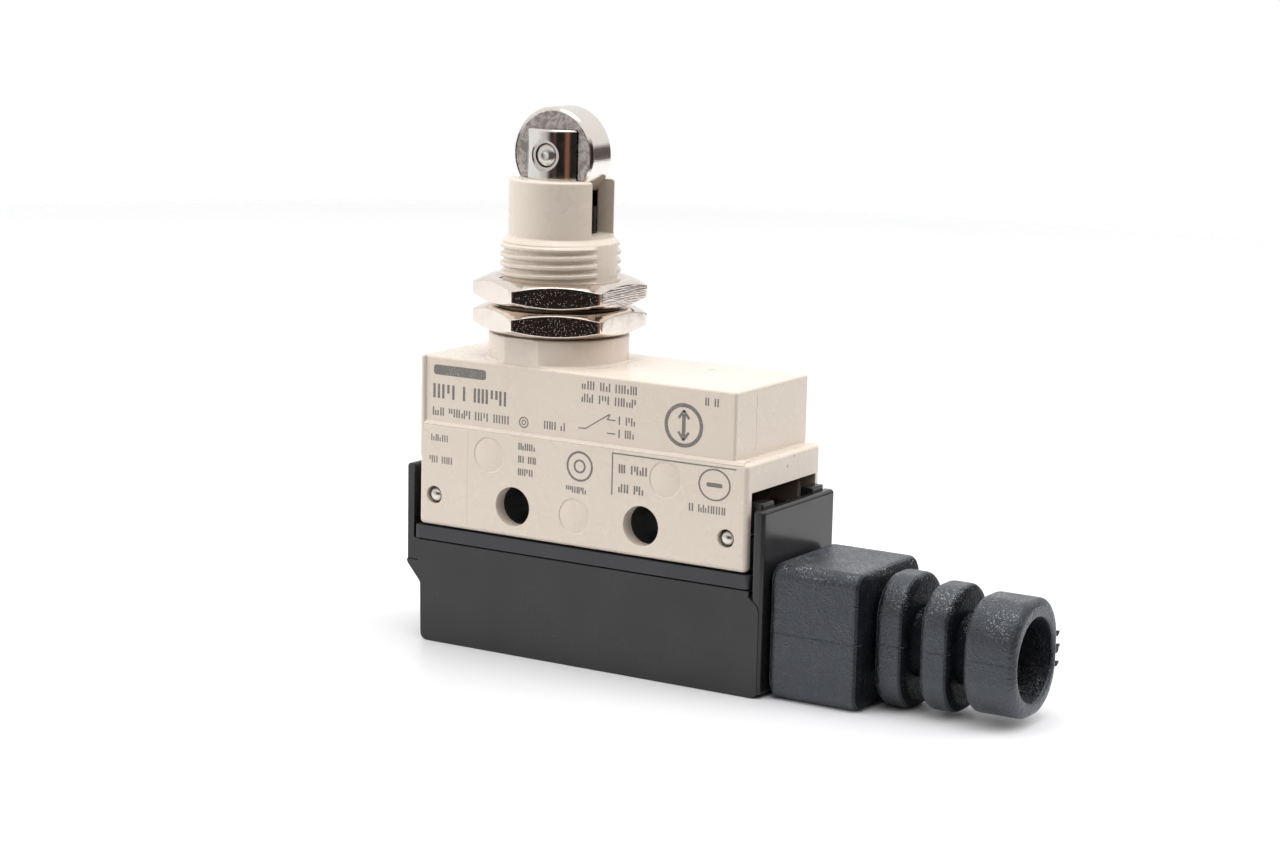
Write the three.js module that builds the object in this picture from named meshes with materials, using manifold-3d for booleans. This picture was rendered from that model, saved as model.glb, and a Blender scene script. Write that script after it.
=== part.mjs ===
// Roller plunger limit switch for panel or side mounting.
// Units are millimetres. +Z is up along the plunger, +X runs along the body
// towards the cable boot, and the printed front face looks along -Y.
// The origin lies on the bottom face of the terminal cover, under the plunger.
import * as THREE from 'three';
import { mergeVertices } from 'three/addons/utils/BufferGeometryUtils.js';
import Module from 'manifold-3d';

const wasm = await Module();
wasm.setup();

// ---- driving dimensions -------------------------------------------------
const HALF_DEPTH = 7.9;          // case and cover are 15.8 deep
const CASE_LEFT = -12.9;
const CASE_RIGHT = 28.6;         // lower block
const CASE_RIGHT_TOP = 26.87;    // upper block, one ledge narrower
const CASE_BOTTOM = 13.17;
const LEDGE_Z = 24.68;
const CASE_TOP = 32.05;
const WALL = 1.3;
const EDGE_R = 0.5;

const HOLE_Z = 16.53;            // side mounting holes
const HOLE_X = [-0.55, 15.75];
const HOLE_R = 2.15;
const BOSS_R = 3.3;
const PAD_DEPTH = 1.6;           // wall thickness at the holes
const RIVET_Z = 16.58;
const RIVET_X = [-10.88, 26.15];
const RIVET_R = 0.8;

const COLLAR_R = 7.72;
const COLLAR_TOP = 34.95;
const THREAD_ROOT_R = 6.2;
const THREAD_R = 6.6;            // M13 class panel thread
const THREAD_PITCH = 1.0;
const THREAD_TOP = 44.7;
const HELIX_START = 40.9;       // the barrel below, inside the nuts, is plain
const NECK_R = 5.75;
const NECK_TOP = 51.8;
const SLOT_HALF = 2.2;           // slot the roller dips into
const SLOT_FLOOR = 45.95;
const GUIDE_R = 3.92;
const GUIDE_FLOOR = 44.6;
const CHAMBER_R = 4.9;

const NUT_AF = 16.6;
const NUT_T = 2.8;
const NUT_FACE_R = 7.72;         // flat ring left by the corner chamfer
const NUT_BORE_R = 6.7;
const LOWER_NUT_Z = 35.2;
const UPPER_NUT_Z = 38.25;

const SHAFT_R = 3.82;            // plunger
const SHAFT_TOP = 57.25;
const FORK_HALF = 2.12;
const FORK_FLOOR = 48.9;
const ROLLER_R = 5.12;
const ROLLER_HALF = 2.0;
const ROLLER_Z = 54.42;
const PIN_R = 1.28;

const FLANGE_BOTTOM = 11.62;     // terminal base flange
const FLANGE_TOP = 12.97;
const COVER_TOP = 11.35;
const COVER_WALL = 1.2;
const CABLE_Z = 6.9;
const PAD_X = [-4.9, 7.6, 22.4]; // terminal screw positions

// ---- materials ----------------------------------------------------------
function mat(color, metalness, roughness) {
  return new THREE.MeshStandardMaterial({ color, metalness, roughness });
}

const IVORY = [0xd8cdc2, 0.0, 0.42];
const BLACK = [0x3c3d40, 0.0, 0.3];
const RUBBER = [0x1d1e22, 0.0, 0.85];
const NICKEL = [0xd9d2c8, 1.0, 0.28];
const STEEL = [0xcfd0d2, 1.0, 0.22];
const BRASS = [0xc9a45a, 1.0, 0.35];
const PHENOLIC = [0x4a2f28, 0.0, 0.5];
const NYLON = [0xe9e4d8, 0.0, 0.5];
const SPRING = [0xb9babd, 1.0, 0.3];

// ---- solid helpers ------------------------------------------------------
function solid(geometry) {
  const g = geometry.clone();
  g.deleteAttribute('normal');
  g.deleteAttribute('uv');
  const merged = mergeVertices(g, 1e-4);
  const vertProperties = new Float32Array(merged.attributes.position.array);
  const triVerts = new Uint32Array(merged.index.array);
  return new wasm.Manifold(new wasm.Mesh({ numProp: 3, vertProperties, triVerts }));
}

function geometryOf(body) {
  const mesh = body.getMesh();
  const g = new THREE.BufferGeometry();
  const count = mesh.vertProperties.length / mesh.numProp;
  const positions = new Float32Array(count * 3);
  for (let i = 0; i < count; i += 1) {
    for (let k = 0; k < 3; k += 1) {
      positions[i * 3 + k] = mesh.vertProperties[i * mesh.numProp + k];
    }
  }
  g.setAttribute('position', new THREE.BufferAttribute(positions, 3));
  g.setIndex(new THREE.BufferAttribute(new Uint32Array(mesh.triVerts), 1));
  g.computeVertexNormals();
  return g;
}

function join(...bodies) {
  return bodies.reduce((a, b) => a.add(b));
}

function cut(body, ...tools) {
  return tools.reduce((a, b) => a.subtract(b), body);
}

// Plain box between two corners.
function box(x0, x1, y0, y1, z0, z1) {
  const g = new THREE.BoxGeometry(x1 - x0, y1 - y0, z1 - z0);
  g.translate((x0 + x1) / 2, (y0 + y1) / 2, (z0 + z1) / 2);
  return solid(g);
}

// Outline of a rectangle with rounded corners.
function roundedShape(x0, x1, y0, y1, r) {
  const s = new THREE.Shape();
  s.moveTo(x0 + r, y0);
  s.lineTo(x1 - r, y0);
  s.absarc(x1 - r, y0 + r, r, -Math.PI / 2, 0, false);
  s.lineTo(x1, y1 - r);
  s.absarc(x1 - r, y1 - r, r, 0, Math.PI / 2, false);
  s.lineTo(x0 + r, y1);
  s.absarc(x0 + r, y1 - r, r, Math.PI / 2, Math.PI, false);
  s.lineTo(x0, y0 + r);
  s.absarc(x0 + r, y0 + r, r, Math.PI, Math.PI * 1.5, false);
  return s;
}

// Box with every edge rounded by r.
function softBox(x0, x1, y0, y1, z0, z1, r, segments = 2) {
  const e = 0.002;
  const shape = roundedShape(x0 + r, x1 - r, y0 + r, y1 - r, e);
  const g = new THREE.ExtrudeGeometry(shape, {
    depth: z1 - z0 - 2 * r,
    bevelEnabled: true,
    bevelThickness: r,
    bevelSize: r - e,
    bevelSegments: segments,
    curveSegments: 2,
    steps: 1,
  });
  g.translate(0, 0, z0 + r);
  return solid(g);
}

// Straight prism: rounded corners seen from above only.
function cornerBox(x0, x1, y0, y1, z0, z1, r) {
  const g = new THREE.ExtrudeGeometry(roundedShape(x0, x1, y0, y1, r), {
    depth: z1 - z0,
    bevelEnabled: false,
    curveSegments: 5,
  });
  g.translate(0, 0, z0);
  return solid(g);
}

// Polygon in X and Z, extruded from y0 to y1.
function sideProfile(points, y0, y1) {
  const shape = new THREE.Shape(points.map(([x, z]) => new THREE.Vector2(x, z)));
  const g = new THREE.ExtrudeGeometry(shape, { depth: y1 - y0, bevelEnabled: false });
  g.rotateX(Math.PI / 2);
  g.translate(0, y1, 0);
  return solid(g);
}

// Closed (radius, height) profile turned about the Z axis.
function turned(points, segments = 48) {
  const closed = points.map(([r, z]) => new THREE.Vector2(r, z));
  const onAxis = points[0][0] === 0 && points[points.length - 1][0] === 0;
  if (!onAxis) {
    closed.push(new THREE.Vector2(points[0][0], points[0][1]));
  }
  const g = new THREE.LatheGeometry(closed, segments);
  g.rotateX(Math.PI / 2);
  return solid(g);
}

function rod(r, z0, z1, segments = 32) {
  return turned([[0, z0], [r, z0], [r, z1], [0, z1]], segments);
}

// Rod along Y through (x, z).
function crossRod(x, z, r, y0, y1, segments = 32) {
  return rod(r, y0, y1, segments).rotate([-90, 0, 0]).translate([x, 0, z]);
}

// Rod along X at height z.
function alongRod(z, r, x0, x1, segments = 32) {
  return rod(r, x0, x1, segments).rotate([0, 90, 0]).translate([0, 0, z]);
}

// Coil spring with flat-stacked end turns, standing on Z.
class Coil extends THREE.Curve {
  constructor(radius, z0, z1, turns) {
    super();
    this.radius = radius;
    this.z0 = z0;
    this.z1 = z1;
    this.turns = turns;
  }

  getPoint(t, target = new THREE.Vector3()) {
    const a = t * this.turns * Math.PI * 2;
    const z = this.z0 + (this.z1 - this.z0) * t;
    return target.set(this.radius * Math.cos(a), this.radius * Math.sin(a), z);
  }
}

function coil(radius, wire, z0, z1, turns, perTurn, sides) {
  const path = new Coil(radius, z0 + wire, z1 - wire, turns);
  const section = new THREE.Shape();
  section.absarc(0, 0, wire, 0, Math.PI * 2, false);
  const g = new THREE.ExtrudeGeometry(section, {
    steps: Math.round(turns * perTurn),
    curveSegments: Math.round(sides / 2),
    bevelEnabled: false,
    extrudePath: path,
  });
  return solid(g);
}

// Helical ridge added to the root cylinder to make the panel thread.
function threadRidge(z0, z1, perTurn) {
  const turns = (z1 - z0) / THREAD_PITCH;
  const steps = Math.round(turns * perTurn);
  const inner = THREAD_ROOT_R - 0.3;
  const positions = [];
  const index = [];
  for (let i = 0; i <= steps; i += 1) {
    const a = (i / perTurn) * Math.PI * 2 - Math.PI * 0.3;
    const z = z0 + (i / perTurn) * THREAD_PITCH;
    const ends = Math.min(1, Math.min(i, steps - i) / (perTurn * 0.4) + 0.15);
    const outer = THREAD_ROOT_R - 0.1 + (THREAD_R - THREAD_ROOT_R + 0.1) * ends;
    const profile = [[inner, -0.48], [outer, -0.13], [outer, 0.13], [inner, 0.48]];
    for (const [r, dz] of profile) {
      positions.push(r * Math.cos(a), r * Math.sin(a), z + dz);
    }
  }
  for (let i = 0; i < steps; i += 1) {
    for (let k = 0; k < 4; k += 1) {
      const a = i * 4 + k;
      const b = i * 4 + ((k + 1) % 4);
      const c = b + 4;
      const d = a + 4;
      index.push(a, c, b, a, d, c);
    }
  }
  const last = steps * 4;
  index.push(0, 1, 2, 0, 2, 3);
  index.push(last, last + 2, last + 1, last, last + 3, last + 2);
  const g = new THREE.BufferGeometry();
  g.setAttribute('position', new THREE.BufferAttribute(new Float32Array(positions), 3));
  g.setIndex(index);
  g.computeVertexNormals();
  return solid(g);
}

// ---- the parts ----------------------------------------------------------
const switchGroup = new THREE.Group();
switchGroup.name = 'limit_switch';

function addPart(name, body, look) {
  const mesh = new THREE.Mesh(geometryOf(body), mat(...look));
  mesh.name = name;
  switchGroup.add(mesh);
}

// Ivory case: cap open below, with collar, threaded stem and slotted neck.
function makeCase() {
  const d = HALF_DEPTH;
  let body = join(
    softBox(CASE_LEFT, CASE_RIGHT_TOP, -d, d, CASE_BOTTOM, CASE_TOP, EDGE_R),
    softBox(CASE_RIGHT - 8, CASE_RIGHT, -d, d, CASE_BOTTOM, LEDGE_Z, EDGE_R),
  );
  // shallow nameplate step on the front, open to the top and to the right
  const step = sideProfile([[-10, 24.4], [-7.89, 24.4], [-7.62, 24.9], [-7.62, 34], [-10, 34]], 0, 50)
    .rotate([0, 0, 90]).translate([CASE_LEFT + 0.6 + 50, 0, 0]);
  body = body.subtract(step);
  const stem = turned([
    [0, 30.9], [COLLAR_R, 30.9], [COLLAR_R, COLLAR_TOP - 0.25], [COLLAR_R - 0.25, COLLAR_TOP],
    [THREAD_R - 0.05, COLLAR_TOP], [THREAD_R - 0.05, HELIX_START - 0.25],
    [THREAD_ROOT_R, HELIX_START + 0.1], [THREAD_ROOT_R, THREAD_TOP],
    [NECK_R + 0.3, THREAD_TOP + 0.4], [NECK_R, THREAD_TOP + 0.9], [NECK_R, NECK_TOP - 0.25],
    [NECK_R - 0.25, NECK_TOP], [0, NECK_TOP],
  ], 40);
  const ridge = threadRidge(HELIX_START - 0.1, THREAD_TOP - 0.25, 20);
  const flats = join(
    box(THREAD_ROOT_R + 0.03, 8, -8, 8, HELIX_START - 1, THREAD_TOP + 1),
    box(-8, -THREAD_ROOT_R - 0.03, -8, 8, HELIX_START - 1, THREAD_TOP + 1),
  );
  body = join(body, stem, ridge.subtract(flats));
  // hollow inside, with a thicker pad on both side walls round each mounting hole
  const lower = box(CASE_LEFT + WALL, CASE_RIGHT - WALL, -d + WALL, d - WALL, 12, LEDGE_Z - 1.2);
  const upper = box(CASE_LEFT + WALL, CASE_RIGHT_TOP - WALL, -d + WALL, d - WALL, 20, CASE_TOP - 1.15);
  body = cut(body, lower, upper);
  for (const x of HOLE_X) {
    body = join(
      body,
      crossRod(x, HOLE_Z, BOSS_R, -d + 0.6, -d + PAD_DEPTH, 20),
      crossRod(x, HOLE_Z, BOSS_R, d - PAD_DEPTH, d - 0.6, 20),
    );
    body = body.subtract(crossRod(x, HOLE_Z, HOLE_R, -10, 10, 28));
  }
  for (const x of RIVET_X) {
    body = body.subtract(crossRod(x, RIVET_Z, RIVET_R + 0.22, -10, 10, 16));
  }
  // stem bore, roller slot, and the latch opening in the cable end
  body = cut(
    body,
    rod(CHAMBER_R, 30, GUIDE_FLOOR, 28),
    rod(GUIDE_R, 40, 53, 36),
    box(-7, 7, -SLOT_HALF, SLOT_HALF, SLOT_FLOOR, 53),
    box(CASE_RIGHT - WALL - 0.6, CASE_RIGHT + 1, -6.95, 6.95, 12, 21.55),
  );
  return body;
}

// Black base that closes the case and carries the terminals.
function makeTerminalBase() {
  let body = cornerBox(-13.55, 28.95, -7.8, 7.8, FLANGE_BOTTOM, FLANGE_TOP, 0.4);
  const ears = join(
    box(-11.35, -8.6, -6.3, 6.3, FLANGE_TOP - 0.1, 18.3),
    box(23.9, 27.0, -6.3, 6.3, FLANGE_TOP - 0.1, 18.3),
    box(4.0, 11.2, -6.3, 6.3, FLANGE_TOP - 0.1, 15.5),
  );
  body = body.add(ears);
  // sleeves that carry the mounting screws between the case walls
  for (const x of HOLE_X) {
    body = join(
      body,
      box(x - BOSS_R, x + BOSS_R, -6.05, 6.05, FLANGE_TOP - 0.1, HOLE_Z),
      crossRod(x, HOLE_Z, BOSS_R, -6.05, 6.05, 20),
    );
  }
  for (const x of HOLE_X) {
    body = body.subtract(crossRod(x, HOLE_Z, HOLE_R, -10, 10, 28));
  }
  for (const x of PAD_X) {
    body = body.add(softBox(x - 3.2, x + 3.2, -3.4, 3.4, 8.6, FLANGE_BOTTOM + 0.6, 0.3, 1));
  }
  for (const x of PAD_X) {
    body = body.subtract(rod(1.55, 8, 11.5, 14).translate([x, 0, 0]));
    body = body.subtract(box(x - 3.5, x - 2.35, -2.2, 2.2, 8, 20));
  }
  for (const x of RIVET_X) {
    body = body.subtract(crossRod(x, RIVET_Z, RIVET_R + 0.22, -10, 10, 16));
  }
  body = body.subtract(box(27.95, 30, -7.05, 7.05, 10, 14));
  return body;
}

// Black terminal cover with its two latch plates.
function makeTerminalCover() {
  const d = HALF_DEPTH;
  const front = sideProfile([
    [-11.7, 0], [29.6, 0], [30.1, 0.25], [30.3, 0.8], [30.3, 8.8], [30.15, 9.5], [29.75, 10.2],
    [29.05, 10.7], [29.05, COVER_TOP], [-13.75, COVER_TOP], [-13.75, 19.2], [-13.95, 19.6],
    [-14.2, 19.75], [-14.45, 19.6], [-14.62, 19.2], [-14.55, 8.9], [-14.3, 8.2], [-12.95, 6.8],
    [-12.7, 6.2], [-12.6, 1.1], [-12.3, 0.35],
  ], -d, d);
  const plate = softBox(29.25, 30.62, -d + 0.15, d - 0.15, 0.3, 19.95, 0.4, 2);
  const lugs = join(
    box(28.25, 29.6, -6.5, -4.0, 17.2, 20.5),
    box(28.25, 29.6, 4.3, 6.8, 17.2, 20.5),
  );
  const inside = cornerBox(-11.5, 28.2, -d + COVER_WALL, d - COVER_WALL, COVER_WALL, 15, 0.8);
  let body = cut(front, inside);
  body = join(body, plate, lugs);
  body = cut(
    body,
    alongRod(CABLE_Z, 4.3, 27, 32, 28),
    box(27.5, 29.2, -4.3, 4.3, CABLE_Z, 15),
    box(-16, -13.0, -9, -d + 0.25, 8, 21),
    box(-16, -13.0, d - 0.25, 9, 8, 21),
  );
  return body;
}

// Rounded-oval slab, the unit from which the boot is stacked along X.
function ovalSlab(x0, x1, halfWidth, halfHeight, z, power, round) {
  const points = 28;
  const rings = [
    [x0, 1 - (round * 0.8) / halfWidth],
    [x0 + round * 0.8, 1],
    [x1 - round * 0.8, 1],
    [x1, 1 - (round * 0.8) / halfWidth],
  ];
  const positions = [];
  const index = [];
  for (const [x, s] of rings) {
    for (let i = 0; i < points; i += 1) {
      const a = (i / points) * Math.PI * 2;
      const c = Math.cos(a);
      const n = Math.sin(a);
      const y = Math.sign(c) * Math.abs(c) ** (2 / power) * (halfWidth * s);
      const h = Math.sign(n) * Math.abs(n) ** (2 / power) * (halfHeight - halfWidth * (1 - s));
      positions.push(x, y, z + h);
    }
  }
  for (let k = 0; k < rings.length - 1; k += 1) {
    for (let i = 0; i < points; i += 1) {
      const a = k * points + i;
      const b = k * points + ((i + 1) % points);
      index.push(a, b, b + points, a, b + points, a + points);
    }
  }
  const first = positions.length / 3;
  positions.push(x0, 0, z, x1, 0, z);
  const lastRing = (rings.length - 1) * points;
  for (let i = 0; i < points; i += 1) {
    const j = (i + 1) % points;
    index.push(first, j, i);
    index.push(first + 1, lastRing + i, lastRing + j);
  }
  const g = new THREE.BufferGeometry();
  g.setAttribute('position', new THREE.BufferAttribute(new Float32Array(positions), 3));
  g.setIndex(index);
  g.computeVertexNormals();
  let body = solid(g);
  if (body.volume() < 0) {
    for (let i = 0; i < index.length; i += 3) {
      [index[i + 1], index[i + 2]] = [index[i + 2], index[i + 1]];
    }
    g.setIndex(index);
    body = solid(g);
  }
  return body;
}

function makeBoot() {
  let body = join(
    ovalSlab(30.9, 41.7, 6.95, 7.2, 7.25, 10, 0.8),
    ovalSlab(40.5, 56.0, 4.0, 4.6, 7.0, 2.6, 0.3),
    ovalSlab(42.2, 45.6, 4.8, 7.05, 7.05, 3.2, 0.5),
    ovalSlab(47.3, 50.8, 4.8, 6.62, 6.95, 3.2, 0.5),
    ovalSlab(52.5, 58.3, 5.35, 6.1, 7.05, 3.2, 0.5),
  );
  const neck = alongRod(CABLE_Z, 4.1, 27.9, 33, 28);
  const lip = alongRod(CABLE_Z, 5.2, 26.8, 28.0, 28).intersect(box(26, 29, -6, 6, 1.6, 10.2));
  body = join(body, neck, lip);
  body = cut(
    body,
    alongRod(CABLE_Z, 3.1, 26, 60, 24),
    alongRod(CABLE_Z, 4.35, 53.2, 60, 28),
  );
  return body;
}

// Hexagon nut with both faces chamfered; two flats face along X.
function makeNut(z0) {
  const corner = NUT_AF / Math.sqrt(3);
  const points = [];
  for (let i = 0; i < 6; i += 1) {
    const a = Math.PI / 6 + (i * Math.PI) / 3;
    points.push(new THREE.Vector2(corner * Math.cos(a), corner * Math.sin(a)));
  }
  const g = new THREE.ExtrudeGeometry(new THREE.Shape(points), { depth: NUT_T, bevelEnabled: false });
  const hex = solid(g);
  const rim = corner + 0.4;
  const drop = (rim - NUT_FACE_R) * 0.43;
  const cone = turned([
    [0, 0], [NUT_FACE_R, 0], [rim, drop], [rim, NUT_T - drop], [NUT_FACE_R, NUT_T], [0, NUT_T],
  ], 24);
  const bore = turned([
    [0, -0.1], [NUT_BORE_R + 0.5, -0.1], [NUT_BORE_R, 0.4], [NUT_BORE_R, NUT_T - 0.4],
    [NUT_BORE_R + 0.5, NUT_T + 0.1], [0, NUT_T + 0.1],
  ], 32);
  return hex.intersect(cone).subtract(bore).translate([0, 0, z0]);
}

function makePlunger() {
  let body = turned([
    [0, 34.4], [2.4, 34.4], [2.4, 39.4], [4.45, 39.4], [4.45, 40.7], [SHAFT_R, 40.7],
    [SHAFT_R, SHAFT_TOP - 0.25], [SHAFT_R - 0.25, SHAFT_TOP], [0, SHAFT_TOP],
  ], 36);
  body = cut(
    body,
    box(-5, 5, -FORK_HALF, FORK_HALF, FORK_FLOOR, 60),
    rod(1.75, 34, 43.8, 20),
    crossRod(0, ROLLER_Z, PIN_R + 0.04, -5, 5, 24),
    crossRod(0, ROLLER_Z, 1.68, -5, -3.28, 24),
    crossRod(0, ROLLER_Z, 1.68, 3.28, 5, 24),
  );
  return body;
}

function makeRoller() {
  const r = ROLLER_R;
  const h = ROLLER_HALF;
  const c = 0.28;
  return turned([
    [PIN_R + 0.06, -h], [r - c, -h], [r, -h + c], [r, h - c], [r - c, h], [PIN_R + 0.06, h],
  ], 40).rotate([-90, 0, 0]).translate([0, 0, ROLLER_Z]);
}

function makeRollerPin() {
  const r = PIN_R;
  const e = 3.25;
  return turned([
    [0, -e - 0.32], [r * 0.5, -e - 0.24], [r * 0.85, -e - 0.08], [r, -e + 0.1],
    [r, e - 0.1], [r * 0.85, e + 0.08], [r * 0.5, e + 0.24], [0, e + 0.32],
  ], 20).rotate([-90, 0, 0]).translate([0, 0, ROLLER_Z]);
}

function makeRivet(x) {
  const r = RIVET_R;
  const e = HALF_DEPTH - 0.04;
  return turned([
    [0, -e], [r * 0.7, -e + 0.15], [r, -e + 0.45], [r, e - 0.45], [r * 0.7, e - 0.15], [0, e],
  ], 16).rotate([-90, 0, 0]).translate([x, 0, RIVET_Z]);
}

// Flat ring about Z.
function ring(rIn, rOut, z0, z1, segments = 24) {
  return turned([[rIn, z0], [rOut, z0], [rOut, z1], [rIn, z1]], segments);
}

function makeSpringSeat() {
  return turned([
    [4.0, 29.7], [4.7, 29.7], [4.7, 33.0], [2.75, 33.0], [2.75, 32.1], [4.0, 32.1],
  ], 24);
}

function makePushRod() {
  return turned([
    [0, 30.35], [0.8, 30.35], [1.0, 30.55], [1.0, 36.3], [1.6, 36.3], [1.6, 37.1], [0, 37.1],
  ], 16);
}

function makeSwitchButton() {
  return turned([
    [0, 25.68], [0.45, 25.68], [0.9, 26.1], [1.2, 26.4], [1.2, 27.3], [1.8, 27.3], [1.8, 28.3],
    [1.2, 28.3], [1.2, 30.0], [0.95, 30.25], [0, 30.25],
  ], 16);
}

function makeSwitchCase() {
  let body = softBox(-9.9, 20.9, -4.4, 4.4, 20.3, 29.4, 0.4, 1);
  body = cut(body, box(-9.0, 20.0, -3.5, 3.5, 19, 28.5), rod(1.32, 28, 30, 16));
  return body;
}

function makeSwitchBase() {
  let body = box(-8.7, 19.7 + 0.15, -3.3, 3.3, 20.45, 21.6);
  const post = box(14.4, 18.2, -3.0, 3.0, 21.5, 24.5);
  body = body.add(post);
  for (const x of PAD_X) {
    body = body.subtract(box(x - 3.25, x - 2.3, -2.2, 2.2, 20, 22));
  }
  return body;
}

// Brass strip: contact arm, leg through both bases, and foot under a screw.
function makeTerminal(padX, armX0, armX1, armZ, width) {
  const legX = padX - 3.0;
  const t = 0.45;
  const leg = box(legX, legX + t, -width, width, 8.0, armZ + t);
  const foot = box(legX, padX + 2.9, -2.7, 2.7, 8.0, 8.0 + t);
  const arm = box(armX0, armX1, -width, width, armZ, armZ + t);
  return join(leg, foot, arm).subtract(rod(1.6, 7, 9, 16).translate([padX, 0, 0]));
}

function makeBlade() {
  const strip = box(-5.3, 13.8, -1.7, 1.7, 25.2, 25.42);
  const window = box(1.6, 9.8, -0.75, 0.75, 25, 26);
  return cut(strip, window, rod(0.62, 25, 26, 14).translate([-4.2, 0, 0]));
}

function makeMovingContact() {
  return turned([
    [0, 24.65], [1.0, 24.65], [1.1, 24.75], [1.1, 25.1], [0.5, 25.1], [0.5, 25.52], [1.1, 25.52],
    [1.1, 25.9], [1.0, 26.0], [0, 26.0],
  ], 14).translate([-4.2, 0, 0]);
}

function makeScrew(x) {
  let body = turned([
    [0, 5.5], [1.9, 5.5], [2.45, 5.75], [2.7, 6.2], [2.7, 7.05], [1.42, 7.05], [1.42, 11.1], [1.2, 11.3],
    [0, 11.3],
  ], 18);
  body = cut(body, box(-1.7, 1.7, -0.35, 0.35, 5, 6.3), box(-0.35, 0.35, -1.7, 1.7, 5, 6.3));
  return body.translate([x, 0, 0]);
}

function makeWasher(x) {
  const plate = box(x - 2.7, x + 2.7, -2.9, 2.9, 7.2, 7.85);
  return plate.subtract(rod(1.6, 7, 8, 16).translate([x, 0, 0]));
}

function makeGasket() {
  const outer = cornerBox(-11.3, 27.6, -6.5, 6.5, 10.55, 11.42, 0.7);
  return outer.subtract(box(-10.4, 26.7, -5.6, 5.6, 10, 12));
}

addPart('case', makeCase(), IVORY);
addPart('terminal_base', makeTerminalBase(), BLACK);
addPart('terminal_cover', makeTerminalCover(), BLACK);
addPart('cover_gasket', makeGasket(), RUBBER);
addPart('cable_boot', makeBoot(), RUBBER);
addPart('lower_nut', makeNut(LOWER_NUT_Z), NICKEL);
addPart('upper_nut', makeNut(UPPER_NUT_Z), NICKEL);
addPart('plunger', makePlunger(), STEEL);
addPart('roller', makeRoller(), STEEL);
addPart('roller_pin', makeRollerPin(), STEEL);
addPart('plunger_seal', ring(3.9, 4.78, 43.1, 44.3), RUBBER);
addPart('guide_bush', ring(3.9, 4.78, 41.0, 42.8), BRASS);
addPart('return_spring', coil(3.55, 0.32, 33.2, 39.2, 4, 12, 5), SPRING);
addPart('spring_seat', makeSpringSeat(), NYLON);
addPart('overtravel_spring', coil(1.28, 0.2, 37.3, 43.6, 6, 8, 4), SPRING);
addPart('push_rod', makePushRod(), STEEL);
addPart('switch_button', makeSwitchButton(), NYLON);
addPart('switch_case', makeSwitchCase(), PHENOLIC);
addPart('switch_base', makeSwitchBase(), PHENOLIC);
addPart('moving_blade', makeBlade(), BRASS);
addPart('moving_contact', makeMovingContact(), STEEL);
addPart('nc_contact', rod(1.2, 26.1, 26.65, 16).translate([-4.2, 0, 0]), STEEL);
addPart('no_contact', rod(1.2, 22.5, 23.0, 16).translate([-4.2, 0, 0]), STEEL);
addPart('nc_terminal', makeTerminal(PAD_X[0], -7.9, -2.9, 26.75, 1.9), BRASS);
addPart('no_terminal', makeTerminal(PAD_X[1], -5.5, 5.05, 21.95, 1.9), BRASS);
addPart('com_terminal', makeTerminal(PAD_X[2], 12.1, 19.85, 24.6, 1.9), BRASS);
addPart('nc_screw', makeScrew(PAD_X[0]), STEEL);
addPart('no_screw', makeScrew(PAD_X[1]), STEEL);
addPart('com_screw', makeScrew(PAD_X[2]), STEEL);
addPart('nc_washer', makeWasher(PAD_X[0]), STEEL);
addPart('no_washer', makeWasher(PAD_X[1]), STEEL);
addPart('com_washer', makeWasher(PAD_X[2]), STEEL);
addPart('left_rivet', makeRivet(RIVET_X[0]), STEEL);
addPart('right_rivet', makeRivet(RIVET_X[1]), STEEL);

export default switchGroup;
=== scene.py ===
"""Looks of the roller plunger limit switch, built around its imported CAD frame.

Shapes are modelled in millimetres and brought to metres by make_piece().
+Z is up along the plunger, +X runs towards the cable boot, -Y is the printed front.
"""

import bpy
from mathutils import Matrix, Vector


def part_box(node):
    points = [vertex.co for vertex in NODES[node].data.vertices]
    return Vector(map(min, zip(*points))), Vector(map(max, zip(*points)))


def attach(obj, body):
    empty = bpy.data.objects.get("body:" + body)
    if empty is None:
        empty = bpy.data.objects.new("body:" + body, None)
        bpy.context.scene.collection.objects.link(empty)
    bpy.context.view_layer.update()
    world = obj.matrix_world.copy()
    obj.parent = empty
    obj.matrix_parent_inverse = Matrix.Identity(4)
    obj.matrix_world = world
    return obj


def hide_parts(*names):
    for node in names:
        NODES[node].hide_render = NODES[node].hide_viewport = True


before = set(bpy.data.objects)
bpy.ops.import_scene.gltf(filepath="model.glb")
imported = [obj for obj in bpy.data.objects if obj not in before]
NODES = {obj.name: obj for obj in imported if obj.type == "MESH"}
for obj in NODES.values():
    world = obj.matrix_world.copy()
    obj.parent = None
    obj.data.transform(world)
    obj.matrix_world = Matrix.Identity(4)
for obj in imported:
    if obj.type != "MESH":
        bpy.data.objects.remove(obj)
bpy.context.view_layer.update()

import math
import random

import bmesh
import bpy
from mathutils import Matrix, Vector

MM = 0.001


def box_mm(node):
    low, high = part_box(node)
    return low / MM, high / MM


# ---- sizes read from the frame, in millimetres ---------------------------
CASE_LOW, CASE_HIGH = box_mm("case")
COVER_LOW, COVER_HIGH = box_mm("terminal_cover")
BASE_LOW, BASE_HIGH = box_mm("terminal_base")
BOOT_END = box_mm("cable_boot")[1].x
ROLLER_LOW, ROLLER_HIGH = box_mm("roller")
PLUNGER_LOW, PLUNGER_HIGH = box_mm("plunger")
PIN_LOW, PIN_HIGH = box_mm("roller_pin")

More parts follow.
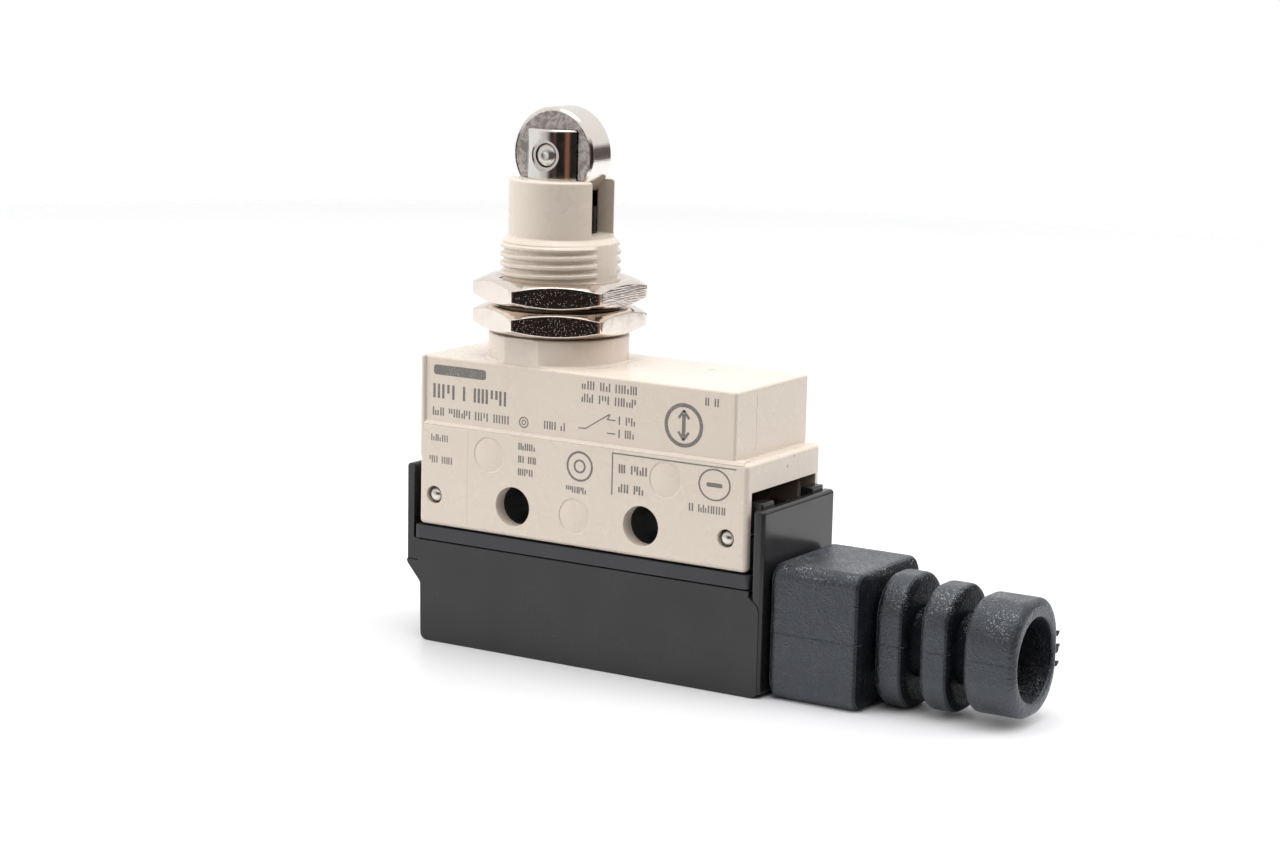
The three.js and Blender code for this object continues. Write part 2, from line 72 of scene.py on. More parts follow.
SKIN = 0.015                      # how far visual faces stay inside the CAD box
FRONT = CASE_LOW.y + SKIN
BACK = CASE_HIGH.y - SKIN
CASE_LEFT, CASE_RIGHT = CASE_LOW.x, CASE_HIGH.x
CASE_BOTTOM = CASE_LOW.z
NECK_TOP = CASE_HIGH.z
CASE_TOP = 32.05
LEDGE = 24.68                     # top of the wider lower block
TOP_BLOCK_RIGHT = CASE_RIGHT - 1.73
NAMEPLATE_DEPTH = 0.265
LEDGE_LEFT, LEDGE_RIGHT = CASE_LEFT + 0.5, CASE_RIGHT - 0.6
WALL = 1.3

HOLE_Z, HOLE_R = 16.53, 2.15      # side mounting holes
HOLE_X = (-0.55, 15.75)
BOSS_R, BOSS_DEPTH = 3.3, 1.6     # thicker wall round each hole
SLEEVE_HALF = 6.05                # half length of the base's sleeve between the bosses
OVERLAP = 0.3                     # how far one solid runs into another that it is joined to
RIVET_Z = 16.58
RIVET_X = [sum(c.x for c in box_mm(n)) / 2 for n in ("left_rivet", "right_rivet")]
RIVET_HOLE_R = 0.98

COLLAR_R, COLLAR_TOP = 7.72, 34.95
THREAD_ROOT, THREAD_CREST = 6.2, 6.6
THREAD_PITCH = 1.0
THREAD_START = 40.2
THREAD_END = 44.4
SHOULDER_TOP = THREAD_END + 1.25
NECK_R = 5.75
SLOT_HALF, SLOT_FLOOR = 2.2, 45.95
GUIDE_R, GUIDE_FLOOR, CHAMBER_R = 3.92, 44.6, 4.9

SHAFT_R = 3.82
FORK_HALF, FORK_FLOOR = 2.12, 48.9
ROLLER_R = (ROLLER_HIGH.z - ROLLER_LOW.z) / 2
ROLLER_Z = (ROLLER_HIGH.z + ROLLER_LOW.z) / 2
ROLLER_HALF = ROLLER_HIGH.y
PIN_R = (PIN_HIGH.z - PIN_LOW.z) / 2

FLANGE_BOTTOM, FLANGE_TOP = 11.46, 12.97
COVER_TOP = 11.35
CABLE_Z = 6.9
RIB_HALF = 4.85                   # half width of the boot's two ribs
PAD_X = (-4.9, 7.6, 22.4)         # terminal screw positions


# ---- mesh tools, in millimetres -------------------------------------------
def object_from(bm, name):
    """Puts a finished bmesh into the scene as an object."""
    mesh = bpy.data.meshes.new(name)
    bm.to_mesh(mesh)
    bm.free()
    obj = bpy.data.objects.new(name, mesh)
    bpy.context.scene.collection.objects.link(obj)
    return obj


def mesh_object(name, verts, faces):
    """Object from points and faces, its normals turned outwards."""
    draft = bpy.data.meshes.new("draft")
    draft.from_pydata([tuple(v) for v in verts], [], faces)
    bm = bmesh.new()
    bm.from_mesh(draft)
    bpy.data.meshes.remove(draft)
    bmesh.ops.recalc_face_normals(bm, faces=bm.faces)
    return object_from(bm, name)


def bevel(bm, edges, radius, segments):
    bmesh.ops.bevel(
        bm, geom=edges, offset=radius, segments=segments, profile=0.5, affect="EDGES", clamp_overlap=True,
    )


def rounded_box(x0, x1, y0, y1, z0, z1, radius, segments=4):
    """Box between two corners with every edge rounded."""
    bm = bmesh.new()
    bmesh.ops.create_cube(bm, size=1)
    for v in bm.verts:
        v.co.x = x0 + (v.co.x + 0.5) * (x1 - x0)
        v.co.y = y0 + (v.co.y + 0.5) * (y1 - y0)
        v.co.z = z0 + (v.co.z + 0.5) * (z1 - z0)
    if radius:
        bevel(bm, bm.edges[:], radius, segments)
    return object_from(bm, "box")


AXIS_TURN = {
    "Z": Matrix.Identity(3),
    "Y": Matrix.Rotation(math.radians(-90), 3, "X"),
    "X": Matrix.Rotation(math.radians(90), 3, "Y"),
}


def turned(profile, segments=96, axis="Z", centre=(0, 0, 0), looped=False):
    """Solid turned from (radius, height) points about an axis through centre."""
    turn = AXIS_TURN[axis]
    verts = []
    for radius, height in profile:
        for i in range(segments):
            a = math.tau * i / segments
            point = Vector((radius * math.cos(a), radius * math.sin(a), height))
            verts.append(turn @ point + Vector(centre))
    return mesh_object("turned", verts, grid_faces(len(profile), segments, looped))


def grid_faces(rows, columns, looped):
    """Faces of a tube of rows by columns, with end caps unless the rows loop."""
    faces = []
    for k in range(rows if looped else rows - 1):
        for i in range(columns):
            j = (i + 1) % columns
            below = (k + 1) % rows
            faces.append((k * columns + i, k * columns + j, below * columns + j, below * columns + i))
    if not looped:
        faces.append(tuple(reversed(range(columns))))
        faces.append(tuple(range((rows - 1) * columns, rows * columns)))
    return faces


def quarter_arc(steps=4, first=1):
    """Steps of a quarter turn as (1 - sine, 1 - cosine), to round the corner of a profile."""
    angles = [math.pi / 2 * s / steps for s in range(first, steps + 1)]
    return [(1 - math.sin(a), 1 - math.cos(a)) for a in angles]


def rod(radius, low, high, axis="Z", centre=(0, 0, 0), segments=64):
    return turned([(radius, low), (radius, high)], segments, axis, centre)


def outline(*corners, steps=5):
    """Polygon whose (x, z, radius) corners are rounded by arcs."""
    points = []
    count = len(corners)
    for i, (x, z, radius) in enumerate(corners):
        here = Vector((x, z))
        before = Vector(corners[i - 1][:2]) - here
        after = Vector(corners[(i + 1) % count][:2]) - here
        if not radius:
            points.append(tuple(here))
            continue
        half = before.angle(after) / 2
        reach = radius / math.tan(half)
        start = here + before.normalized() * reach
        end = here + after.normalized() * reach
        middle = here + (before.normalized() + after.normalized()).normalized() * (radius / math.sin(half))
        a0 = math.atan2(start.y - middle.y, start.x - middle.x)
        a1 = math.atan2(end.y - middle.y, end.x - middle.x)
        sweep = (a1 - a0 + math.pi) % math.tau - math.pi
        for s in range(steps + 1):
            a = a0 + sweep * s / steps
            points.append((middle.x + radius * math.cos(a), middle.y + radius * math.sin(a)))
    return points


def prism(points, low, high, radius=0.0, segments=3, axis="Y"):
    """Outline extruded along an axis, its two rims rounded by a radius."""
    bm = bmesh.new()
    order = {"X": (2, 0, 1), "Y": (0, 2, 1), "Z": (0, 1, 2)}[axis]
    first = [bm.verts.new([(u, v, low)[k] for k in order]) for u, v in points]
    last = [bm.verts.new([(u, v, high)[k] for k in order]) for u, v in points]
    count = len(points)
    rims = [bm.faces.new(first), bm.faces.new(last)]
    for i in range(count):
        j = (i + 1) % count
        bm.faces.new((first[i], first[j], last[j], last[i]))
    bmesh.ops.recalc_face_normals(bm, faces=bm.faces)
    if radius:
        bevel(bm, list({e for face in rims for e in face.edges}), radius, segments)
    return object_from(bm, "prism")


def combine(base, tool, operation):
    modifier = base.modifiers.new("combine", "BOOLEAN")
    modifier.object = tool
    modifier.operation = operation
    modifier.solver = "MANIFOLD"
    depsgraph = bpy.context.evaluated_depsgraph_get()
    mesh = bpy.data.meshes.new_from_object(base.evaluated_get(depsgraph))
    if len(mesh.polygons) == 0:
        raise RuntimeError(f"{operation} of {tool.name} left nothing of {base.name}")
    base.modifiers.clear()
    base.data = mesh
    bpy.data.objects.remove(tool)
    return base


def join(base, *tools):
    for tool in tools:
        combine(base, tool, "UNION")
    return base


def cut(base, *tools):
    for tool in tools:
        combine(base, tool, "DIFFERENCE")
    return base


def ease_edges(obj, width):
    ease = obj.modifiers.new("ease", "BEVEL")
    ease.width = width * MM
    ease.segments = 2
    ease.limit_method = "ANGLE"
    ease.angle_limit = math.radians(40)


def make_piece(obj, name, material, body, nodes=(), crease=32, ease=0.0):
    """Names a finished shape, brings it to metres, shades it and lets it ride on its body."""
    obj.name = name
    mesh = obj.data
    mesh.name = name
    mesh.transform(Matrix.Scale(MM, 4))
    mesh.materials.clear()
    mesh.materials.append(material)
    mesh.shade_smooth()
    mesh.set_sharp_from_angle(angle=math.radians(crease))
    if ease:
        ease_edges(obj, ease)
    normals = obj.modifiers.new("normals", "WEIGHTED_NORMAL")
    normals.keep_sharp = True
    normals.weight = 60
    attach(obj, body)
    if nodes:
        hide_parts(*nodes)
    return obj


# ---- material tools --------------------------------------------------------
class Nodes:
    """Short ways to add nodes to one tree and to join them."""

    def __init__(self, tree):
        self.tree = tree
        tree.nodes.clear()

    def add(self, kind, **settings):
        node = self.tree.nodes.new(kind)
        for key, value in settings.items():
            setattr(node, key, value)
        return node

    def plug(self, node, socket, value):
        if isinstance(value, bpy.types.NodeSocket):
            self.tree.links.new(value, node.inputs[socket])
        else:
            node.inputs[socket].default_value = value

    def split(self, vector):
        node = self.add("ShaderNodeSeparateXYZ")
        self.plug(node, "Vector", vector)
        return node.outputs

    def math(self, operation, a, b=0.0, clamp=False):
        node = self.add("ShaderNodeMath", operation=operation, use_clamp=clamp)
        self.plug(node, 0, a)
        self.plug(node, 1, b)
        return node.outputs["Value"]

    def span(self, value, low, high, to_low=0.0, to_high=1.0):
        """Smooth step from one range of values to another."""
        node = self.add("ShaderNodeMapRange", interpolation_type="SMOOTHSTEP")
        self.plug(node, "Value", value)
        node.inputs["From Min"].default_value = low
        node.inputs["From Max"].default_value = high
        node.inputs["To Min"].default_value = to_low
        node.inputs["To Max"].default_value = to_high
        return node.outputs["Result"]

    def blend(self, factor, first, second):
        """Mix of two colours, each a socket or an RGB triple."""
        node = self.add("ShaderNodeMix", data_type="RGBA")
        self.plug(node, "Factor", factor)
        for index, value in ((6, first), (7, second)):
            self.plug(node, index, (*value, 1) if isinstance(value, tuple) else value)
        return node.outputs[2]


class Recipe(Nodes):
    """A Principled material whose textures are sized in millimetres of the object."""

    def __init__(self, name, color, metallic=0.0, roughness=0.5, **sockets):
        self.material = bpy.data.materials.new(name)
        self.material.use_nodes = True
        super().__init__(self.material.node_tree)
        output = self.add("ShaderNodeOutputMaterial")
        self.shader = self.add("ShaderNodeBsdfPrincipled")
        self.plug(output, "Surface", self.shader.outputs["BSDF"])
        self.shader.inputs["Base Color"].default_value = (*color, 1)
        self.shader.inputs["Metallic"].default_value = metallic
        self.shader.inputs["Roughness"].default_value = roughness
        for socket, value in sockets.items():
            self.shader.inputs[socket.replace("_", " ")].default_value = value
        self.coords = self.add("ShaderNodeTexCoord").outputs
        self.normal = None

    def place(self, size, stretch=(1, 1, 1), turn=(0, 0, 0)):
        mapping = self.add("ShaderNodeMapping")
        self.plug(mapping, "Vector", self.coords["Object"])
        mapping.inputs["Scale"].default_value = [1 / (MM * size * s) for s in stretch]
        mapping.inputs["Rotation"].default_value = [math.radians(t) for t in turn]
        return mapping.outputs["Vector"]

    def grain(self, vector, detail, distortion=0.0):
        node = self.add("ShaderNodeTexNoise")
        self.plug(node, "Vector", vector)
        node.inputs["Scale"].default_value = 1.0
        node.inputs["Detail"].default_value = detail
        node.inputs["Distortion"].default_value = distortion
        return node.outputs["Fac"]

    def noise(self, size, detail=3.0, stretch=(1, 1, 1), distortion=0.0, turn=(0, 0, 0)):
        return self.grain(self.place(size, stretch, turn), detail, distortion)

    def cells(self, size):
        node = self.add("ShaderNodeTexVoronoi")
        self.plug(node, "Vector", self.place(size))
        node.inputs["Scale"].default_value = 1.0
        return node.outputs["Distance"]

    def color(self, value):
        self.plug(self.shader, "Base Color", value)

    def rough(self, value):
        self.plug(self.shader, "Roughness", value)

    def bump(self, height, depth):
        """Relief of depth millimetres, laid over any relief given before."""
        node = self.add("ShaderNodeBump")
        node.inputs["Strength"].default_value = 1.0
        node.inputs["Distance"].default_value = depth * MM
        self.plug(node, "Height", height)
        if self.normal is not None:
            self.plug(node, "Normal", self.normal)
        self.normal = node.outputs["Normal"]
        self.plug(self.shader, "Normal", self.normal)


def moulded_plastic(name, low, high, rough, grain=0.0018, dust=(0.35, 0.3, 0.25)):
    """Injection-moulded plastic: faint flow mottling, satin grain and a few specks."""
    r = Recipe(name, low, 0.0, rough[0])
    mottle = r.span(r.noise(9.0, 3.0), 0.3, 0.7)
    base = r.blend(mottle, low, high)
    fine = r.span(r.noise(0.35, 2.0), 0.35, 0.75, 0.0, 0.22)
    base = r.blend(fine, base, tuple(c * 0.94 for c in low))
    specks = r.span(r.cells(2.6), 0.0, 0.035, 1.0, 0.0)
    rare = r.span(r.noise(3.4, 1.0), 0.56, 0.6)
    r.color(r.blend(r.math("MULTIPLY", specks, rare), base, dust))
    r.rough(r.span(r.noise(4.0, 4.0), 0.3, 0.7, rough[0], rough[1]))
    r.bump(r.noise(0.28, 3.0), grain)
    r.bump(r.noise(5.0, 1.0), 0.02)
    return r.material


def gloss_plastic(name, color, rough):
    """Glossy black plastic with hairline scratches, wiping marks and dust."""
    r = Recipe(name, color, 0.0, rough[0])
    scratch = r.noise(0.4, 4.0, stretch=(16, 1, 1), turn=(0, 8, 0))
    wiped = r.span(r.noise(6.0, 4.0, distortion=0.6), 0.35, 0.7, rough[0], rough[1])
    marks = r.span(scratch, 0.68, 0.76, 0.0, 0.06)
    r.rough(r.math("ADD", wiped, marks))
    specks = r.span(r.cells(1.7), 0.0, 0.03, 1.0, 0.0)
    rare = r.span(r.noise(2.2, 1.0), 0.57, 0.6)
    dusty = r.math("MULTIPLY", specks, rare)
    haze = r.span(r.noise(7.0, 3.0), 0.3, 0.75)
    base = r.blend(haze, color, tuple(c * 1.35 + 0.002 for c in color))
    r.color(r.blend(dusty, base, (0.22, 0.21, 0.2)))
    r.bump(r.noise(6.0, 1.0), 0.01)
    r.bump(scratch, 0.0004)
    return r.material


def soft_rubber(name, color, gloss=1.0):
    """Matte moulded rubber with a pebbled skin and light specks on the grain tops, partly whitish deposit
    and partly painted glints, painted brightest on faces that look up as a highlight. Low gloss lowers
    specular level and sheen, which paints shade.
    """
    r = Recipe(name, color, 0.0, 0.4, Sheen_Weight=0.2 * gloss, Sheen_Roughness=0.3,
               Sheen_Tint=(0.78, 0.86, 1, 1), Specular_IOR_Level=gloss, Specular_Tint=(0.84, 0.9, 1, 1))
    # painted highlight: the light specks are strongest on faces that look up
    painted_top_highlight = r.span(r.split(r.coords["Normal"])["Z"], 0.05, 0.65, 0.1, 1.0)
    bloom_and_glint_specks = r.span(r.noise(0.15, 2.0), 0.56, 0.68)
    patches = r.span(r.noise(2.4, 4.0), 0.36, 0.62)
    bloom_and_highlight_tone = tuple(c * 2.6 + 0.25 for c in color)
    base = r.blend(r.span(r.noise(5.0, 3.0), 0.3, 0.7), color, tuple(c * 1.6 for c in color))
    r.color(r.blend(r.math("MULTIPLY", r.math("MULTIPLY", bloom_and_glint_specks, patches), painted_top_highlight), base, bloom_and_highlight_tone))
    r.rough(r.span(r.noise(0.6, 4.0), 0.3, 0.7, 0.26, 0.44))
    r.bump(r.noise(0.2, 3.0), 0.07)
    r.bump(r.cells(0.28), 0.035)
    return r.material


def plated_metal(name, color, rough, grain_size=0.16, grain=0.004, tarnish=0.85):
    """Plated or polished metal with a fine satin grain and faint stains."""
    r = Recipe(name, color, 1.0, rough[0])
    stain = r.span(r.noise(2.4, 4.0, distortion=0.8), 0.45, 0.75)
    r.color(r.blend(stain, color, tuple(c * tarnish for c in color)))
    r.rough(r.span(r.noise(1.1, 4.0), 0.3, 0.7, rough[0], rough[1]))
    r.bump(r.noise(grain_size, 4.0), grain)
    return r


def build_materials():
    m = {}
    m["ivory"] = moulded_plastic("ivory_plastic", (0.603, 0.528, 0.452), (0.618, 0.543, 0.467), (0.26, 0.29),
                                 0.001)
    m["black"] = gloss_plastic("black_gloss", (0.0105, 0.0105, 0.011), (0.17, 0.27))
    m["base"] = moulded_plastic("black_plastic", (0.026, 0.0265, 0.029), (0.032, 0.0325, 0.036), (0.4, 0.5),
                                0.006, (0.12, 0.12, 0.12))
    boot_color = (0.0048, 0.0052, 0.0068)
    m["boot"] = soft_rubber("boot_rubber", boot_color)
    # painted shade: two duller copies of the boot rubber, for the slopes into its grooves and for the groove
    # floors
    m["boot_half_shade"] = soft_rubber("boot_half_shade", boot_color, 0.5)
    m["boot_deep_shade"] = soft_rubber("boot_deep_shade", boot_color, 0.05)
    m["gasket"] = soft_rubber("gasket_rubber", (0.012, 0.012, 0.013))
    m["print"] = laser_print()
    m["nickel"] = nut_nickel("nickel_plate", False)
    m["nickel_milled"] = nut_nickel("nickel_plate_milled", True)
    m["steel"] = plated_metal("polished_steel", (0.66, 0.64, 0.61), (0.2, 0.32), 0.2, 0.006).material
    m["fork"] = fork_steel()
    m["turned"] = turned_steel()
    m["brass"] = plated_metal("brass", (0.72, 0.52, 0.22), (0.25, 0.4)).material
    m["bronze"] = plated_metal("spring_bronze", (0.66, 0.42, 0.22), (0.25, 0.4)).material
    m["silver"] = plated_metal("silver_contact", (0.83, 0.82, 0.8), (0.2, 0.35)).material
    m["spring"] = plated_metal("spring_steel", (0.55, 0.55, 0.56), (0.22, 0.35)).material
    m["nylon"] = moulded_plastic("nylon", (0.78, 0.75, 0.66), (0.82, 0.79, 0.71), (0.4, 0.5))
    m["phenolic"] = moulded_plastic("phenolic", (0.075, 0.03, 0.02), (0.11, 0.045, 0.03), (0.35, 0.5))
    return m


def laser_print():
    """Grey laser marking, broken up where the beam has not quite covered."""
    r = Recipe("laser_print", (0.17, 0.155, 0.145), 0.0, 0.55)
    broken = r.span(r.noise(0.12, 3.0), 0.5, 0.72)
    worn = r.span(r.noise(1.6, 3.0), 0.3, 0.75, 0.15, 0.6)
    r.color(r.blend(r.math("MULTIPLY", broken, worn), (0.15, 0.14, 0.13), (0.48, 0.43, 0.38)))
    r.bump(r.noise(0.1, 2.0), 0.004)
    return r.material


def nut_nickel(name, milled):
    """Bright nickel over stamped steel; a milled nut also keeps its cutter lines."""
    r = plated_metal(name, (0.80, 0.72, 0.645), (0.07, 0.13), 0.13, 0.0012, 0.9)
    pits = r.span(r.cells(0.15), 0.0, 0.2, 0.0, 1.0)
    spared = r.span(r.noise(0.3, 2.0), 0.45, 0.49, 1.0, 0.0)
    r.bump(r.math("MAXIMUM", pits, spared), 0.035)
    if milled:
        side = r.span(r.split(r.coords["Normal"])["X"], 0.9, 0.97)
        lines = r.noise(0.12, 2.0, stretch=(1, 40, 1), turn=(-14, 0, 0))
        r.bump(r.math("MULTIPLY", lines, side), 0.014)
    return r.material


def fork_steel():
    """Polished fork whose shaft is painted dark where it runs in the neck, as painted shade inside the slot.
    """
    r = plated_metal("fork_steel", (0.80, 0.76, 0.72), (0.09, 0.2), 0.14, 0.003)
    ragged = r.math("MULTIPLY", r.noise(0.8, 3.0), 0.8 * MM)
    edge = r.math("ADD", r.split(r.coords["Object"])["Z"], ragged)
    # painted shade: the shaft goes dark below the neck top, along a ragged edge
    slot_shade = r.span(edge, 51.3 * MM, 50.6 * MM)
    tint = r.blend(r.noise(1.5, 4.0), (0.82, 0.79, 0.76), (0.68, 0.64, 0.6))
    r.color(r.blend(slot_shade, tint, (0.02, 0.018, 0.016)))
    r.rough(r.span(r.noise(0.9, 4.0), 0.3, 0.7, 0.09, 0.2))
    return r.material


def turned_steel():
    """Roller steel: lathe rings on the end faces, smudges, and a satin rim."""
    r = Recipe("turned_steel", (0.74, 0.70, 0.66), 1.0, 0.25)
    place = r.split(r.coords["Object"])
    height = r.math("SUBTRACT", place["Z"], ROLLER_Z * MM)
    square = r.math("ADD", r.math("POWER", place["X"], 2.0), r.math("POWER", height, 2.0))
    lathe = r.add("ShaderNodeCombineXYZ")
    r.plug(lathe, "X", r.math("MULTIPLY", r.math("SQRT", square), 1 / (0.11 * MM)))
    rings = r.grain(lathe.outputs["Vector"], 3.0)
    on_face = r.span(r.math("ABSOLUTE", r.split(r.coords["Normal"])["Y"]), 0.9, 0.97)
    smudge = r.span(r.noise(0.9, 5.0, distortion=1.2), 0.35, 0.68)
    dull = r.blend(smudge, (0.30, 0.275, 0.26), (0.64, 0.6, 0.57))
    r.color(r.blend(on_face, (0.80, 0.745, 0.69), dull))
    r.rough(r.span(r.math("MULTIPLY", on_face, smudge), 0.0, 1.0, 0.16, 0.36))
    r.bump(r.math("MULTIPLY", rings, on_face), 0.006)
    ground = r.noise(0.14, 3.0, stretch=(1, 9, 1))
    r.bump(r.math("MULTIPLY", ground, r.math("SUBTRACT", 1.0, on_face)), 0.006)
    r.bump(r.noise(0.15, 4.0), 0.004)
    return r.material


# ---- ivory case --------------------------------------------------------------
def hole_cutter(x, z, radius, lip):
    """Through hole along Y whose two mouths are eased by a small lip."""
    mouth = [(radius + lip * fall, lip * rise) for fall, rise in quarter_arc(first=0)]
    front = [(radius + lip, FRONT - 1)] + [(r, FRONT + d) for r, d in mouth]
    back = [(r, BACK - d) for r, d in reversed(mouth)] + [(radius + lip, BACK + 1)]
    return turned(front + back, 72, "Y", (x, 0, z))


def thread_radius(angle, z):
    """Outside radius of the threaded barrel and of the shoulder above it."""
    crest_left = math.radians(211.5)
    turns = (z - THREAD_END) / THREAD_PITCH - (angle - crest_left) / math.tau
    away = abs(turns - round(turns))
    rise = min(1.0, max(0.0, (0.37 - away) / 0.25))
    rise = rise * rise * (3 - 2 * rise)
    thread = THREAD_ROOT + (THREAD_CREST - THREAD_ROOT) * rise
    to_flat = abs((math.degrees(angle) + 90) % 180 - 90)
    keep = min(1.0, max(0.0, (to_flat - 18) / 9)) * min(1.0, max(0.0, (THREAD_END + 0.55 - z) / 0.3))
    flat = THREAD_ROOT + 0.14
    radius = flat + (thread - flat) * keep
    flare = min(1.0, max(0.0, (SHOULDER_TOP - z) / 0.75))
    flare = flare * flare * (3 - 2 * flare)
    return NECK_R + (radius - NECK_R) * flare


def stem():
    """Collar, thread and neck as one turned body with a helical outside."""
    foot, lip, tip = 0.3, 0.22, 0.3
    under_thread = THREAD_CREST - 0.05
    levels = [(31.0, COLLAR_R), (CASE_TOP - 0.05, COLLAR_R + foot), (CASE_TOP, COLLAR_R + foot)]
    levels += [(CASE_TOP + foot * rise, COLLAR_R + foot * fall) for fall, rise in quarter_arc()]
    levels.append((COLLAR_TOP - lip, COLLAR_R))
    levels += [(COLLAR_TOP - lip * fall, COLLAR_R - lip * rise) for fall, rise in quarter_arc()]
    levels += [(COLLAR_TOP, under_thread), (THREAD_START - 0.3, under_thread)]
    z = THREAD_START
    while z < SHOULDER_TOP:
        levels.append((z, None))
        z += 0.05
    levels.append((NECK_TOP - tip, NECK_R))
    levels += [(NECK_TOP - tip * fall, NECK_R - tip * rise) for fall, rise in quarter_arc()]
    around = 216
    verts = []
    for z, radius in levels:
        for i in range(around):
            a = math.tau * i / around
            r = thread_radius(a, z) if radius is None else radius
            verts.append((r * math.cos(a), r * math.sin(a), z))
    shape = mesh_object("stem", verts, grid_faces(len(levels), around, False))
    flat_y = FRONT + NAMEPLATE_DEPTH + 0.2
    return cut(shape, rounded_box(-9, 9, -12, flat_y, 30, COLLAR_TOP + 0.1, 0))


def nameplate_ledge(plate_y):
    """Bevelled step under the sunk nameplate, with a fine groove and a bead below it."""
    top = LEDGE + 0.17
    section = [
        (FRONT + 1.5, 22.0), (FRONT, 22.0), (FRONT, top - 0.6), (FRONT + 0.05, top - 0.53),
        (FRONT + 0.05, top - 0.44), (FRONT + 0.01, top - 0.36), (plate_y - 0.04, top - 0.04),
        (plate_y + 0.05, top), (FRONT + 1.5, top),
    ]
    return prism(section, LEDGE_LEFT, LEDGE_RIGHT, axis="X")


def case_shape():
    """Two stacked blocks with a sunk nameplate, the stem, the cavity and the openings."""
    plate_y = FRONT + NAMEPLATE_DEPTH
    body = rounded_box(CASE_LEFT, CASE_RIGHT, FRONT, BACK, CASE_BOTTOM, LEDGE, 0.5, 5)
    cut(body, rounded_box(LEDGE_LEFT, LEDGE_RIGHT, FRONT - 1, plate_y + 0.3, LEDGE - 1.0, LEDGE + 1, 0))
    join(
        body,
        nameplate_ledge(plate_y),
        rounded_box(CASE_LEFT, TOP_BLOCK_RIGHT, plate_y, BACK, LEDGE - 4, CASE_TOP, 0.3, 4),
        rounded_box(CASE_LEFT, CASE_LEFT + 0.62, FRONT, FRONT + 3, LEDGE - 4, CASE_TOP, 0.28, 3),
        stem(),
    )
    for right, floor, roof in ((CASE_RIGHT, 12, LEDGE - 1.2), (TOP_BLOCK_RIGHT, 20, CASE_TOP - 1.15)):
        cut(body, rounded_box(CASE_LEFT + WALL, right - WALL, FRONT + WALL, BACK - WALL, floor, roof, 0))
    for x in HOLE_X:
        join(
            body,
            rod(BOSS_R, FRONT + 0.6, FRONT + BOSS_DEPTH, "Y", (x, 0, HOLE_Z)),
            rod(BOSS_R, BACK - BOSS_DEPTH, BACK - 0.6, "Y", (x, 0, HOLE_Z)),
        )
        cut(body, hole_cutter(x, HOLE_Z, HOLE_R, 0.12))
    for x in RIVET_X:
        cut(body, hole_cutter(x, RIVET_Z, RIVET_HOLE_R, 0.08))
    cut(
        body,
        rod(CHAMBER_R, 30, GUIDE_FLOOR, segments=72),
        rod(GUIDE_R, 40, 53, segments=72),
        rounded_box(-7, 7, -SLOT_HALF, SLOT_HALF, SLOT_FLOOR, 56, 0.12, 2),
        rounded_box(CASE_RIGHT - WALL - 0.6, CASE_RIGHT + 1, -6.95, 6.95, 12, 21.55, 0.1, 2),
    )
    mould_marks(body)
    return body


def mould_marks(body):
    """Ejector witness rings, faint core steps and small marks on the cable end."""
    groove = [(1.96, -0.3), (1.96, 0), (1.88, 0.09)]
    disc = [(0.2, 0.02), (1.5, 0.025), (1.82, 0.09), (1.82, 0.4), (0.2, 0.4)]
    for x, z in ((-3.7, 21.9), (7.4, HOLE_Z), (18.65, 21.9)):
        cut(body, turned(groove, 72, "Y", (x, FRONT, z)))
        join(body, turned(disc, 72, "Y", (x, FRONT, z)))
    cut(body, rounded_box(-6.5, 22.65, FRONT - 0.5, FRONT + 0.015, CASE_BOTTOM - 1, LEDGE - 0.42, 0))
    for y, z, height in ((1.9, 24.0, 0.28), (0.5, 23.1, 0.34)):
        cut(body, rounded_box(CASE_RIGHT - 0.06, CASE_RIGHT + 1, y, y + 0.22, z, z + height, 0))
    cut(body, rod(0.55, CASE_TOP - 0.03, CASE_TOP + 1, centre=(17.6, 3.2, 0), segments=32))
    cut(body, rounded_box(TOP_BLOCK_RIGHT - 0.025, TOP_BLOCK_RIGHT + 1, -3.32, -3.25, 25.3, 31.4, 0))


# ---- black base and cover ------------------------------------------------------
def base_shape():
    """Flange seen as a band under the case, with the terminal pads and sleeves."""
    left, right, half = BASE_LOW.x, BASE_HIGH.x, BASE_HIGH.y
    band = outline((left, -half, 0.45), (right, -half, 0.45), (right, half, 0.45), (left, half, 0.45))
    body = prism(band, FLANGE_BOTTOM, FLANGE_TOP, 0.06, 2, "Z")
    root = FLANGE_TOP - OVERLAP
    post_half = 6.3
    for x0, x1, top in ((-11.35, -8.6, 18.3), (23.9, 27.0, 18.3), (4.0, 11.2, 15.5)):
        join(body, rounded_box(x0, x1, -post_half, post_half, root, top, 0.2, 2))
    for x in HOLE_X:
        join(
            body,
            rounded_box(x - BOSS_R, x + BOSS_R, -SLEEVE_HALF, SLEEVE_HALF, root, HOLE_Z, 0),
            rod(BOSS_R, -SLEEVE_HALF, SLEEVE_HALF, "Y", (x, 0, HOLE_Z)),
        )
    for x in HOLE_X:
        cut(body, rod(HOLE_R, -10, 10, "Y", (x, 0, HOLE_Z)))
    pad_half, pad_depth, pad_low = 3.2, 3.4, 8.6
    for x in PAD_X:
        pad_top = FLANGE_BOTTOM + 2 * OVERLAP
        join(body, rounded_box(x - pad_half, x + pad_half, -pad_depth, pad_depth, pad_low, pad_top, 0.3, 3))
    for x in PAD_X:
        cut(
            body,
            rod(1.55, 8, 11.5, centre=(x, 0, 0), segments=40),
            rounded_box(x - 3.5, x - 2.35, -2.2, 2.2, 8, 20, 0),
        )
    for x in RIVET_X:
        cut(body, rod(1.02, -10, 10, "Y", (x, 0, RIVET_Z), 40))
    cut(body, rounded_box(27.95, 30, -7.05, 7.05, 10, 14, 0))
    return body


